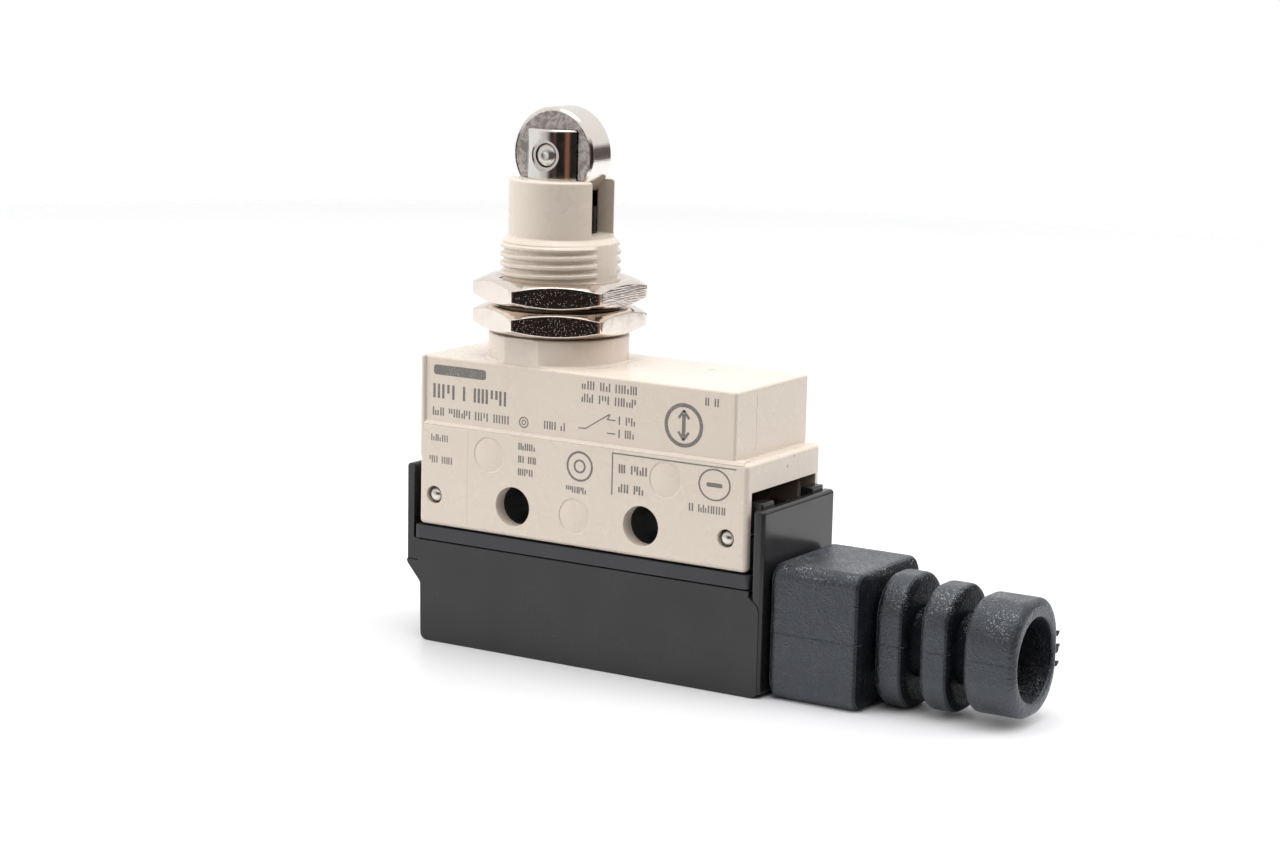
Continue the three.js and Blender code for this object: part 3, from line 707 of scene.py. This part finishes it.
def cover_shape():
    """Trough with a narrower latch tab on its left end and a latch plate on its right end."""
    left, right = COVER_LOW.x, COVER_HIGH.x
    foot = left + 2.02
    side = outline(
        (foot, 0.0, 0.85), (30.3, 0.0, 0.75), (30.3, 9.75, 1.15), (29.05, 10.75, 0.35),
        (29.05, COVER_TOP, 0.08), (-13.75, COVER_TOP, 0.25), (-13.75, 19.75, 0.34), (left, 19.75, 0.42),
        (left + 0.07, 8.6, 0.7), (foot - 0.12, 6.5, 0.7),
        steps=6,
    )
    body = prism(side, FRONT, BACK, 0.13, 3)
    x0, x1, half, fillet = -11.5, 28.2, 6.7, 0.8
    corners = ((x0, -half), (x1, -half), (x1, half), (x0, half))
    inside = outline(*((x, y, fillet) for x, y in corners), steps=6)
    cut(body, prism(inside, 1.2, 15, 0.3, 2, "Z"))
    join(body, rounded_box(29.25, right, -7.75, 7.75, 0.3, 19.95, 0.42, 5))
    for y0, y1 in ((-6.5, -4.0), (4.3, 6.8)):
        join(body, rounded_box(28.25, 29.7, y0, y1, 17.2, 20.5, 0.18, 3))
    slot = 4.3
    cut(
        body,
        rod(slot, 27, 32, "X", (0, 0, CABLE_Z)),
        rounded_box(27.5, 29.2, -slot, slot, CABLE_Z, 15, 0),
    )
    inset = 0.25
    for y0, y1 in ((-9, FRONT + inset), (BACK - inset, 9)):
        cut(body, rounded_box(-16, -13.0, y0, y1, 8.9, 21, 0))
    return body


# ---- rubber boot ------------------------------------------------------------------
FLASH_Z = 7.15                    # height of the mould line


def boot_section(x, half_width, half_height, middle, corner):
    """Rounded rectangle across X, with a thin mould-line ridge on both side walls."""
    corner = min(corner, half_width - 0.05, half_height - 0.05)
    flash = 0.08
    ridge = [(-0.5, 0.0), (-0.07, 0.0), (-0.02, flash), (0.03, flash), (0.06, 0.0), (0.5, 0.0)]
    points = []
    for offset, rise in ridge:
        points.append((x, half_width + rise, FLASH_Z + offset))
    steps = 14                    # per rounded corner
    for quarter in range(4):
        sign_y = (1, -1, -1, 1)[quarter]
        sign_z = (1, 1, -1, -1)[quarter]
        for s in range(steps + 1):
            a = math.pi / 2 * (quarter + s / steps)
            y = sign_y * (half_width - corner) + corner * math.cos(a)
            z = middle + sign_z * (half_height - corner) + corner * math.sin(a)
            points.append((x, y, z))
        if quarter == 1:
            for offset, rise in reversed(ridge):
                points.append((x, -half_width - rise, FLASH_Z + offset))
    return points


def boot_ring(x0, x1, half_width, half_height, middle, corner, ease, groove):
    """Sections of one lobe of the boot: groove, rounded rise, flat, rounded fall."""
    arc = quarter_arc(5, 0)
    sections = [(x0, *groove)]
    for end, side, steps in ((x0, 1, arc), (x1, -1, reversed(arc))):
        for fall, rise in steps:
            inset = ease * fall
            x = end + side * ease * rise
            sections.append((x, half_width - inset, half_height - inset, middle, corner))
    sections.append((x1, *groove))
    return sections


def boot_shape():
    """Square block, two ribs and a cable mouth, with the bore right through."""
    core = (3.4, 3.7, 7.05, 2.9)
    sections = boot_ring(30.9, 41.75, 6.95, 7.2, 7.25, 1.5, 1.05, core)[1:]
    sections += boot_ring(42.2, 45.65, RIB_HALF, 7.05, 7.05, 4.1, 0.85, core)
    sections += boot_ring(47.3, 50.8, RIB_HALF, 6.62, 6.98, 4.1, 0.85, core)
    sections += boot_ring(52.5, BOOT_END, 5.4, 6.1, 7.05, 4.5, 0.8, core)[:-1]
    rows = [boot_section(*s) for s in sections]
    verts = [p for row in rows for p in row]
    body = mesh_object("boot", verts, grid_faces(len(rows), len(rows[0]), False))
    join(body, rod(4.1, 27.9, 33, "X", (0, 0, CABLE_Z)))
    lip = rod(5.2, 26.8, 28.0, "X", (0, 0, CABLE_Z))
    combine(lip, rounded_box(26, 29, -6, 6, 1.6, 10.2, 0), "INTERSECT")
    join(body, lip)
    bore_r, mouth, lead = 3.1, 4.4, 0.35
    bore = [(bore_r, 26), (bore_r, 53.2), (mouth - 0.05, 53.4), (mouth, BOOT_END - lead)]
    bore += [(mouth + lead * rise, BOOT_END - lead * fall) for fall, rise in quarter_arc()]
    bore.append((4.8, BOOT_END + 1))
    cut(body, turned(bore, 96, "X", (0, 0, CABLE_Z)))
    for z, length in ((8.7, 0.45), (7.3, 0.7), (6.9, 0.4), (5.5, 0.6)):
        join(body, torn_flash(z, length))
    return body


def shade_boot_recesses(boot, m):
    """Painted shade: duller copies of the rubber on the groove floors, and on the walls that face the cable.
    """
    boot.data.materials.append(m["boot_half_shade"])
    boot.data.materials.append(m["boot_deep_shade"])
    for face in boot.data.polygons:
        centre = face.center / MM
        wide = centre.y / RIB_HALF
        tall = (centre.z - 7.0) / 6.6
        if centre.x > 52.8:
            continue
        # painted shade: groove floors and cable-facing walls get the darkest copy, the slopes into them the
        # half-dark one
        if math.hypot(wide, tall) < 0.9 or face.normal.x > 0.7:
            face.material_index = 2
        elif face.normal.x > 0.4:
            face.material_index = 1


def torn_flash(z, length):
    """Ragged scrap of rubber left standing on the far rim of the cable mouth."""
    rim = 5.3
    corners = (
        (-1.2, rim - 0.5, 0), (-0.4, rim - 0.5, -0.35), (-0.4, rim - 0.5, 0.32),
        (-0.1, rim + length, -0.12), (-0.03, rim + length * 0.7, 0.2), (-0.02, rim - 0.1, -0.28),
    )
    bm = bmesh.new()
    for along, out, up in corners:
        bm.verts.new((BOOT_END + along, out, z + up))
    bmesh.ops.convex_hull(bm, input=bm.verts[:])
    return object_from(bm, "scrap")


# ---- metal parts -----------------------------------------------------------------------
def nut_shape(node):
    """Hexagon nut whose corners are cut back by a shallow cone on both faces."""
    low, high = box_mm(node)
    apothem = high.x
    face_radius = 7.72
    slope = 0.43
    bore = 6.7
    half = (high.z - low.z) / 2
    middle = (high.z + low.z) / 2
    corner = apothem / math.cos(math.pi / 6) - 0.07
    per_flat = 26
    count = 6 * per_flat
    loops = []
    for i in range(count):
        a = math.tau * i / count
        off = (math.degrees(a) + 30) % 60 - 30
        rim = min(apothem / math.cos(math.radians(off)), corner)
        drop = (rim - face_radius) * slope
        e = 0.05
        top = [
            (bore, half - 0.45), (bore + 0.42, half), (face_radius - 0.05, half),
            (face_radius + 0.05, half - 0.03),
            (rim - e, half - drop + e * slope), (rim - e * 0.3, half - drop - e * 0.35),
            (rim, half - drop - e * 1.5),
        ]
        loop = top + [(r, -z) for r, z in reversed(top)]
        loops.append([(r * math.cos(a), r * math.sin(a), middle + z) for r, z in loop])
    verts = [p for loop in loops for p in loop]
    return mesh_object("nut", verts, grid_faces(count, len(loops[0]), True))


def plunger_shape():
    """Round shaft with a fork for the roller and a counterbore round each pin end."""
    top = PLUNGER_HIGH.z
    profile = [
        (2.4, PLUNGER_LOW.z), (2.4, 39.4), (4.45, 39.4), (4.45, 40.7), (SHAFT_R, 40.7),
        (SHAFT_R, top - 0.27), (SHAFT_R - 0.06, top - 0.13), (SHAFT_R - 0.17, top - 0.04),
        (SHAFT_R - 0.28, top),
    ]
    body = turned(profile, 120)
    rim = 1.72
    for side in (-1, 1):
        depth = 3.28 * side
        cut(body, turned([(rim, depth), (rim, 6 * side)], 64, "Y", (0, 0, ROLLER_Z)))
    cut(
        body,
        rounded_box(-6, 6, -FORK_HALF, FORK_HALF, FORK_FLOOR, 60, 0.1, 2),
        rod(1.75, 34, 43.8, segments=48),
        rod(PIN_R + 0.04, -5, 5, "Y", (0, 0, ROLLER_Z)),
    )
    return body


def roller_shape():
    """Roller with chamfered rims, sunk faces and a bored hub."""
    r, h = ROLLER_R, ROLLER_HALF
    half = [(PIN_R + 0.06, h - 0.12), (PIN_R + 0.2, h), (1.95, h), (2.02, h - 0.05), (r - 0.42, h - 0.05)]
    half += [(r - 0.36, h - 0.01), (r - 0.3, h), (r - 0.05, h - 0.25), (r, h - 0.34)]
    loop = half + [(a, -b) for a, b in reversed(half)]
    return turned(loop, 144, "Y", (0, 0, ROLLER_Z), looped=True)


def pin_shape():
    """Roller pin with domed, lightly dimpled ends."""
    end = PIN_HIGH.y
    half = [(0.06, end - 0.07), (0.3, end - 0.05), (0.42, end), (0.62, end - 0.03), (0.95, end - 0.16)]
    half += [(1.15, end - 0.31), (PIN_R - 0.03, end - 0.5), (PIN_R, end - 0.66)]
    profile = half + [(a, -b) for a, b in reversed(half)]
    return turned(profile, 72, "Y", (0, 0, ROLLER_Z))


def rivet_shape(node):
    low, high = box_mm(node)
    x, z = (low.x + high.x) / 2, (low.z + high.z) / 2
    radius, end = (high.x - low.x) / 2, high.y
    half = [(0.05, end), (0.3, end - 0.02), (0.52, end - 0.1), (0.7, end - 0.27), (radius, end - 0.5)]
    profile = half + [(a, -b) for a, b in reversed(half)]
    return turned(profile, 48, "Y", (x, 0, z))


def screw_shape(node):
    """Cross-slotted pan head screw hanging under its terminal pad."""
    low, high = box_mm(node)
    x = (low.x + high.x) / 2
    z = low.z
    head = (high.x - low.x) / 2
    profile = [(0.3, z), (1.2, z + 0.03), (1.9, z + 0.2), (2.4, z + 0.5), (head - 0.05, z + 0.85)]
    profile += [(head, z + 1.05), (head, z + 1.5), (head - 0.05, z + 1.55), (1.42, z + 1.55)]
    profile += [(1.42, high.z - 0.25), (1.2, high.z)]
    body = turned(profile, 64, "Z", (x, 0, 0))
    for wide, deep in ((1.7, 0.32), (0.32, 1.7)):
        cut(body, rounded_box(x - wide, x + wide, -deep, deep, z - 1, z + 0.75, 0.08, 2))
    return body


# ---- generic front marking ---------------------------------------------------------------
class Marking:
    """Thin closed plates laid on the front faces: bars, strokes and rings."""

    THICK = 0.03
    PROUD = 0.008

    def __init__(self):
        self.verts = []
        self.faces = []

    def plate(self, outer, inner, y):
        """Closed plate between two outlines, or a full one where inner is None."""
        near, far = y - self.PROUD, y + self.THICK
        start = len(self.verts)
        count = len(outer)
        self.verts += [(x, near, z) for x, z in outer] + [(x, far, z) for x, z in outer]

        def ring(base, i):
            return start + base * count + i % count

        for i in range(count):
            self.faces.append((ring(0, i), ring(0, i + 1), ring(1, i + 1), ring(1, i)))
        if inner is None:
            self.faces.append(tuple(ring(0, i) for i in reversed(range(count))))
            self.faces.append(tuple(ring(1, i) for i in range(count)))
            return
        self.verts += [(x, near, z) for x, z in inner] + [(x, far, z) for x, z in inner]
        for i in range(count):
            self.faces.append((ring(3, i), ring(3, i + 1), ring(2, i + 1), ring(2, i)))
            self.faces.append((ring(0, i + 1), ring(0, i), ring(2, i), ring(2, i + 1)))
            self.faces.append((ring(1, i), ring(1, i + 1), ring(3, i + 1), ring(3, i)))

    def stroke(self, x0, z0, x1, z1, width, y):
        along = Vector((x1 - x0, z1 - z0)).normalized() * width / 2
        side = Vector((-along.y, along.x))
        a, b = Vector((x0, z0)) - along * 0.3, Vector((x1, z1)) + along * 0.3
        self.plate([tuple(a + side), tuple(a - side), tuple(b - side), tuple(b + side)], None, y)

    def bar(self, x, z, width, height, y):
        radius = min(width, height) * 0.3
        corners = [(x, z), (x + width, z), (x + width, z + height), (x, z + height)]
        self.plate(outline(*((u, v, radius) for u, v in corners), steps=3), None, y)

    def ring(self, x, z, radius, width, y, squash=1.0):
        angles = [math.tau * i / 56 for i in range(56)]
        outer, inner = (
            [(x + r * math.cos(a), z + r * squash * math.sin(a)) for a in angles]
            for r in (radius, radius - width)
        )
        self.plate(outer, inner, y)

    def ticks(self, x, z, height, groups, y):
        """Row of plain upright ticks in groups, in the place of a line of print."""
        chance = random.Random(round(1000 * (x + 40 * z)))
        pen = height * 0.17
        for count in groups:
            for _ in range(count):
                size = height * chance.choice((1.0, 1.0, 1.0, 0.66))
                rise = chance.choice((0.0, height - size))
                self.stroke(x, z + rise + pen / 2, x, z + rise + size - pen / 2, pen, y)
                x += height * chance.choice((0.29, 0.33, 0.37))
            x += height * 0.5


def marking_shape():
    mark = Marking()
    high = FRONT + NAMEPLATE_DEPTH
    low = FRONT
    # nameplate: heading bar, row of blocks, small row
    mark.bar(-11.3, 30.0, 6.9, 1.1, high)
    mark.ticks(-11.2, 27.3, 1.8, (5, 1, 8), high)
    mark.ticks(-11.3, 25.4, 1.05, (5, 9, 5, 6), high)
    # two rating rows at the right
    for z in (30.35, 28.95):
        mark.ticks(8.0, z, 1.05, (5, 4, 8), high)
    # changeover contact diagram: common, blade, two fixed contacts
    mark.ring(0.6, 25.95, 0.62, 0.14, high)
    mark.ring(0.6, 25.95, 0.3, 0.12, high)
    mark.ticks(3.3, 25.5, 1.0, (5, 2), high)
    mark.stroke(7.6, 26.15, 8.5, 26.2, 0.13, high)
    mark.stroke(8.5, 26.2, 11.4, 28.0, 0.13, high)
    mark.stroke(11.2, 27.45, 12.2, 27.45, 0.13, high)
    mark.stroke(11.2, 27.45, 11.55, 28.05, 0.13, high)
    mark.stroke(11.2, 26.0, 12.2, 26.0, 0.13, high)
    for z in (27.0, 25.6):
        mark.ticks(12.7, z, 1.0, (1, 4), high)
    # travel symbol: ring with an up and down arrow
    mark.ring(20.6, 27.9, 2.35, 0.42, high)
    mark.bar(20.38, 26.7, 0.44, 2.4, high)
    for tip, back in ((26.35, 27.15), (29.45, 28.65)):
        for side in (-0.62, 0.62):
            mark.stroke(20.6, tip, 20.6 + side, back, 0.3, high)
    mark.ticks(23.2, 30.2, 1.0, (2, 2), high)
    # lower face: date row, type rows, plain rings and a ratings box
    mark.ticks(-11.3, 22.6, 0.85, (8,), low)
    mark.ticks(-11.5, 20.15, 0.9, (4, 5), low)
    for z, groups in ((22.9, (8,)), (21.5, (3, 4)), (20.1, (7,))):
        mark.ticks(0.2, z, 0.85, groups, low)
    mark.ring(8.0, 22.05, 1.65, 0.22, low)
    mark.ring(8.0, 22.05, 0.75, 0.2, low)
    mark.ticks(6.4, 19.05, 0.8, (10,), low)
    mark.stroke(12.1, 24.0, 12.1, 19.5, 0.13, low)
    mark.stroke(12.1, 24.0, 27.2, 24.0, 0.13, low)
    mark.ticks(13.0, 21.9, 1.05, (3, 6), low)
    mark.ticks(13.0, 19.8, 1.05, (4, 4), low)
    mark.ring(24.65, 22.1, 1.95, 0.2, low, squash=0.88)
    mark.bar(23.7, 21.85, 1.9, 0.45, low)
    mark.ticks(21.7, 18.95, 0.95, (2, 11), low)
    return mesh_object("front_marking", mark.verts, mark.faces)


# ---- assembly ----------------------------------------------------------------------------
def build_switch(m):
    make_piece(case_shape(), "ivory_case", m["ivory"], "body", ["case"])
    make_piece(marking_shape(), "front_marking", m["print"], "body")
    make_piece(base_shape(), "terminal_block", m["base"], "body", ["terminal_base"])
    make_piece(cover_shape(), "latched_cover", m["black"], "cover", ["terminal_cover"])
    boot = make_piece(boot_shape(), "ribbed_boot", m["boot"], "cover", ["cable_boot"])
    shade_boot_recesses(boot, m)
    make_piece(nut_shape("lower_nut"), "nut_below", m["nickel"], "lower_nut_body",
               ["lower_nut"])
    make_piece(nut_shape("upper_nut"), "nut_above", m["nickel_milled"], "upper_nut_body",
               ["upper_nut"])
    make_piece(plunger_shape(), "forked_plunger", m["fork"], "plunger_body", ["plunger"],
               ease=0.1)
    make_piece(roller_shape(), "cross_roller", m["turned"], "roller_body", ["roller"])
    make_piece(pin_shape(), "domed_pin", m["steel"], "plunger_body", ["roller_pin"])
    for node in ("left_rivet", "right_rivet"):
        make_piece(rivet_shape(node), node + "_domed", m["steel"], "body", [node])
    for terminal in ("nc", "no", "com"):
        node = terminal + "_screw"
        make_piece(screw_shape(node), node + "_slotted", m["steel"], node + "_body", [node])


KEPT_NODES = {
    "gasket": ("cover_gasket", "plunger_seal"),
    "brass": ("guide_bush", "nc_terminal", "no_terminal", "com_terminal"),
    "bronze": ("moving_blade",),
    "silver": ("moving_contact", "nc_contact", "no_contact"),
    "spring": ("return_spring", "overtravel_spring"),
    "nylon": ("spring_seat", "switch_button"),
    "phenolic": ("switch_case", "switch_base"),
    "steel": ("push_rod", "nc_washer", "no_washer", "com_washer"),
}
EASED_NODES = (
    "nc_washer", "no_washer", "com_washer", "nc_terminal", "no_terminal", "com_terminal", "moving_blade",
)


def dress_kept_nodes(m):
    """Inner parts keep their CAD shape and get their own finish and eased edges."""
    for look, names in KEPT_NODES.items():
        for name in names:
            node = NODES[name]
            node.data.materials.clear()
            node.data.materials.append(m[look])
            if name in EASED_NODES:
                ease_edges(node, 0.05)


# ---- studio --------------------------------------------------------------------------------
LIT_POINT = Vector((0.008, 0.0, 0.025))


def build_world():
    """White surround with an unlit room on the side the front faces look at."""
    world = bpy.data.worlds.new("studio")
    bpy.context.scene.world = world
    world.use_nodes = True
    n = Nodes(world.node_tree)
    direction = n.split(n.add("ShaderNodeTexCoord").outputs["Generated"])
    heading = n.math("MULTIPLY", n.math("ARCTAN2", direction["Y"], direction["X"]), 180 / math.pi)
    ramp = n.add("ShaderNodeValToRGB")
    n.plug(ramp, "Fac", n.math("DIVIDE", n.math("ADD", heading, 180.0), 360.0, True))
    stops = (
        (-180, (1, 1, 1)), (-145, (1, 1, 1)), (-126, (0.74, 0.72, 0.71)), (-112, (0.6, 0.57, 0.55)),
        (-98, (0.03, 0.026, 0.024)), (-90, (0.02, 0.018, 0.017)),
        (-87, (0.10, 0.06, 0.05)), (-80, (0.10, 0.06, 0.05)), (-77, (0.02, 0.017, 0.016)),
        (-50, (0.02, 0.017, 0.016)), (-47, (0.28, 0.13, 0.08)), (-36, (0.28, 0.13, 0.08)),
        (-33, (0.02, 0.018, 0.017)), (22, (0.03, 0.027, 0.025)), (44, (0.95, 0.95, 0.95)), (180, (1, 1, 1)),
    )
    elements = ramp.color_ramp.elements
    while len(elements) > 1:
        elements.remove(elements[0])
    for index, (angle, color) in enumerate(stops):
        place = (angle + 180) / 360
        element = elements[0] if index == 0 else elements.new(place)
        element.position = place
        element.color = (*color, 1)
    room = n.blend(n.span(direction["Z"], 0.30, 0.55), ramp.outputs["Color"], (1, 1, 1))
    beyond_table = n.math("MULTIPLY", n.span(heading, 36, 44), n.span(heading, 112, 96))
    beyond_table = n.math("MULTIPLY", beyond_table, n.span(direction["Z"], 0.19, 0.12))
    surround = n.add("ShaderNodeBackground")
    n.plug(surround, "Color", n.blend(beyond_table, room, (0.12, 0.105, 0.1)))
    glow = n.math("MULTIPLY", n.span(direction["Z"], 0.92, 0.98), 2.6)
    n.plug(surround, "Strength", n.math("ADD", glow, 0.95))
    seen = n.add("ShaderNodeBackground")
    n.plug(seen, "Color", (1, 1, 1, 1))
    n.plug(seen, "Strength", 1.0)
    choose = n.add("ShaderNodeMixShader")
    n.plug(choose, "Fac", n.add("ShaderNodeLightPath").outputs["Is Camera Ray"])
    n.plug(choose, 1, surround.outputs["Background"])
    n.plug(choose, 2, seen.outputs["Background"])
    n.plug(n.add("ShaderNodeOutputWorld"), "Surface", choose.outputs["Shader"])


def add_light(name, place, size, power):
    """Square softbox aimed at the switch, kept out of reflections and out of the picture."""
    data = bpy.data.lights.new(name, "AREA")
    data.shape = "SQUARE"
    data.size = size
    data.energy = power
    light = bpy.data.objects.new(name, data)
    bpy.context.scene.collection.objects.link(light)
    light.location = place
    light.rotation_euler = (LIT_POINT - Vector(place)).to_track_quat("-Z", "Y").to_euler()
    light.visible_glossy = False
    light.visible_camera = False


def build_lights():
    add_light("top_softbox", (0.05, -0.12, 0.6), 0.6, 2.2)
    add_light("left_softbox", (-0.42, -0.32, 0.22), 0.4, 1.6)
    add_light("right_softbox", (0.42, 0.2, 0.34), 0.4, 1.8)


def build_floor():
    """White table top round the switch, its far edge lost in the white surround."""
    middle, radius, fade, steps = Vector((-100, 155, 0)), 287, 25, 128
    r = Recipe("table_white", (0.66, 0.66, 0.67), 0.0, 0.4)
    away = r.add("ShaderNodeVectorMath", operation="DISTANCE")
    r.plug(away, 0, r.coords["Object"])
    r.plug(away, 1, middle * MM)
    edge = radius - 1
    r.plug(r.shader, "Alpha", r.span(away.outputs["Value"], edge * MM, (edge - fade) * MM))
    verts = []
    for i in range(steps):
        a = math.tau * i / steps
        verts.append(middle + Vector((radius * math.cos(a), radius * math.sin(a), -0.02)))
    table = mesh_object("table", verts, [tuple(range(steps))])
    table.data.transform(Matrix.Scale(MM, 4))
    table.data.materials.append(r.material)


def build_camera():
    """Eye-level camera to the right of the front faces, with a slight roll."""
    place = Vector((179.65, -278.33, 84.29))
    tilt, roll, heading = 79.774, -1.337, 31.509
    data = bpy.data.cameras.new("camera")
    data.sensor_width = 36
    data.lens = 85.98
    data.clip_start = 0.01
    camera = bpy.data.objects.new("camera", data)
    bpy.context.scene.collection.objects.link(camera)
    camera.location = place * MM
    camera.rotation_euler = [math.radians(angle) for angle in (tilt, roll, heading)]
    bpy.context.scene.camera = camera


build_camera()
materials = build_materials()
build_switch(materials)
dress_kept_nodes(materials)
build_world()
build_lights()
build_floor()
bpy.context.scene.view_settings.view_transform = "Standard"
bpy.context.scene.view_settings.look = "None"
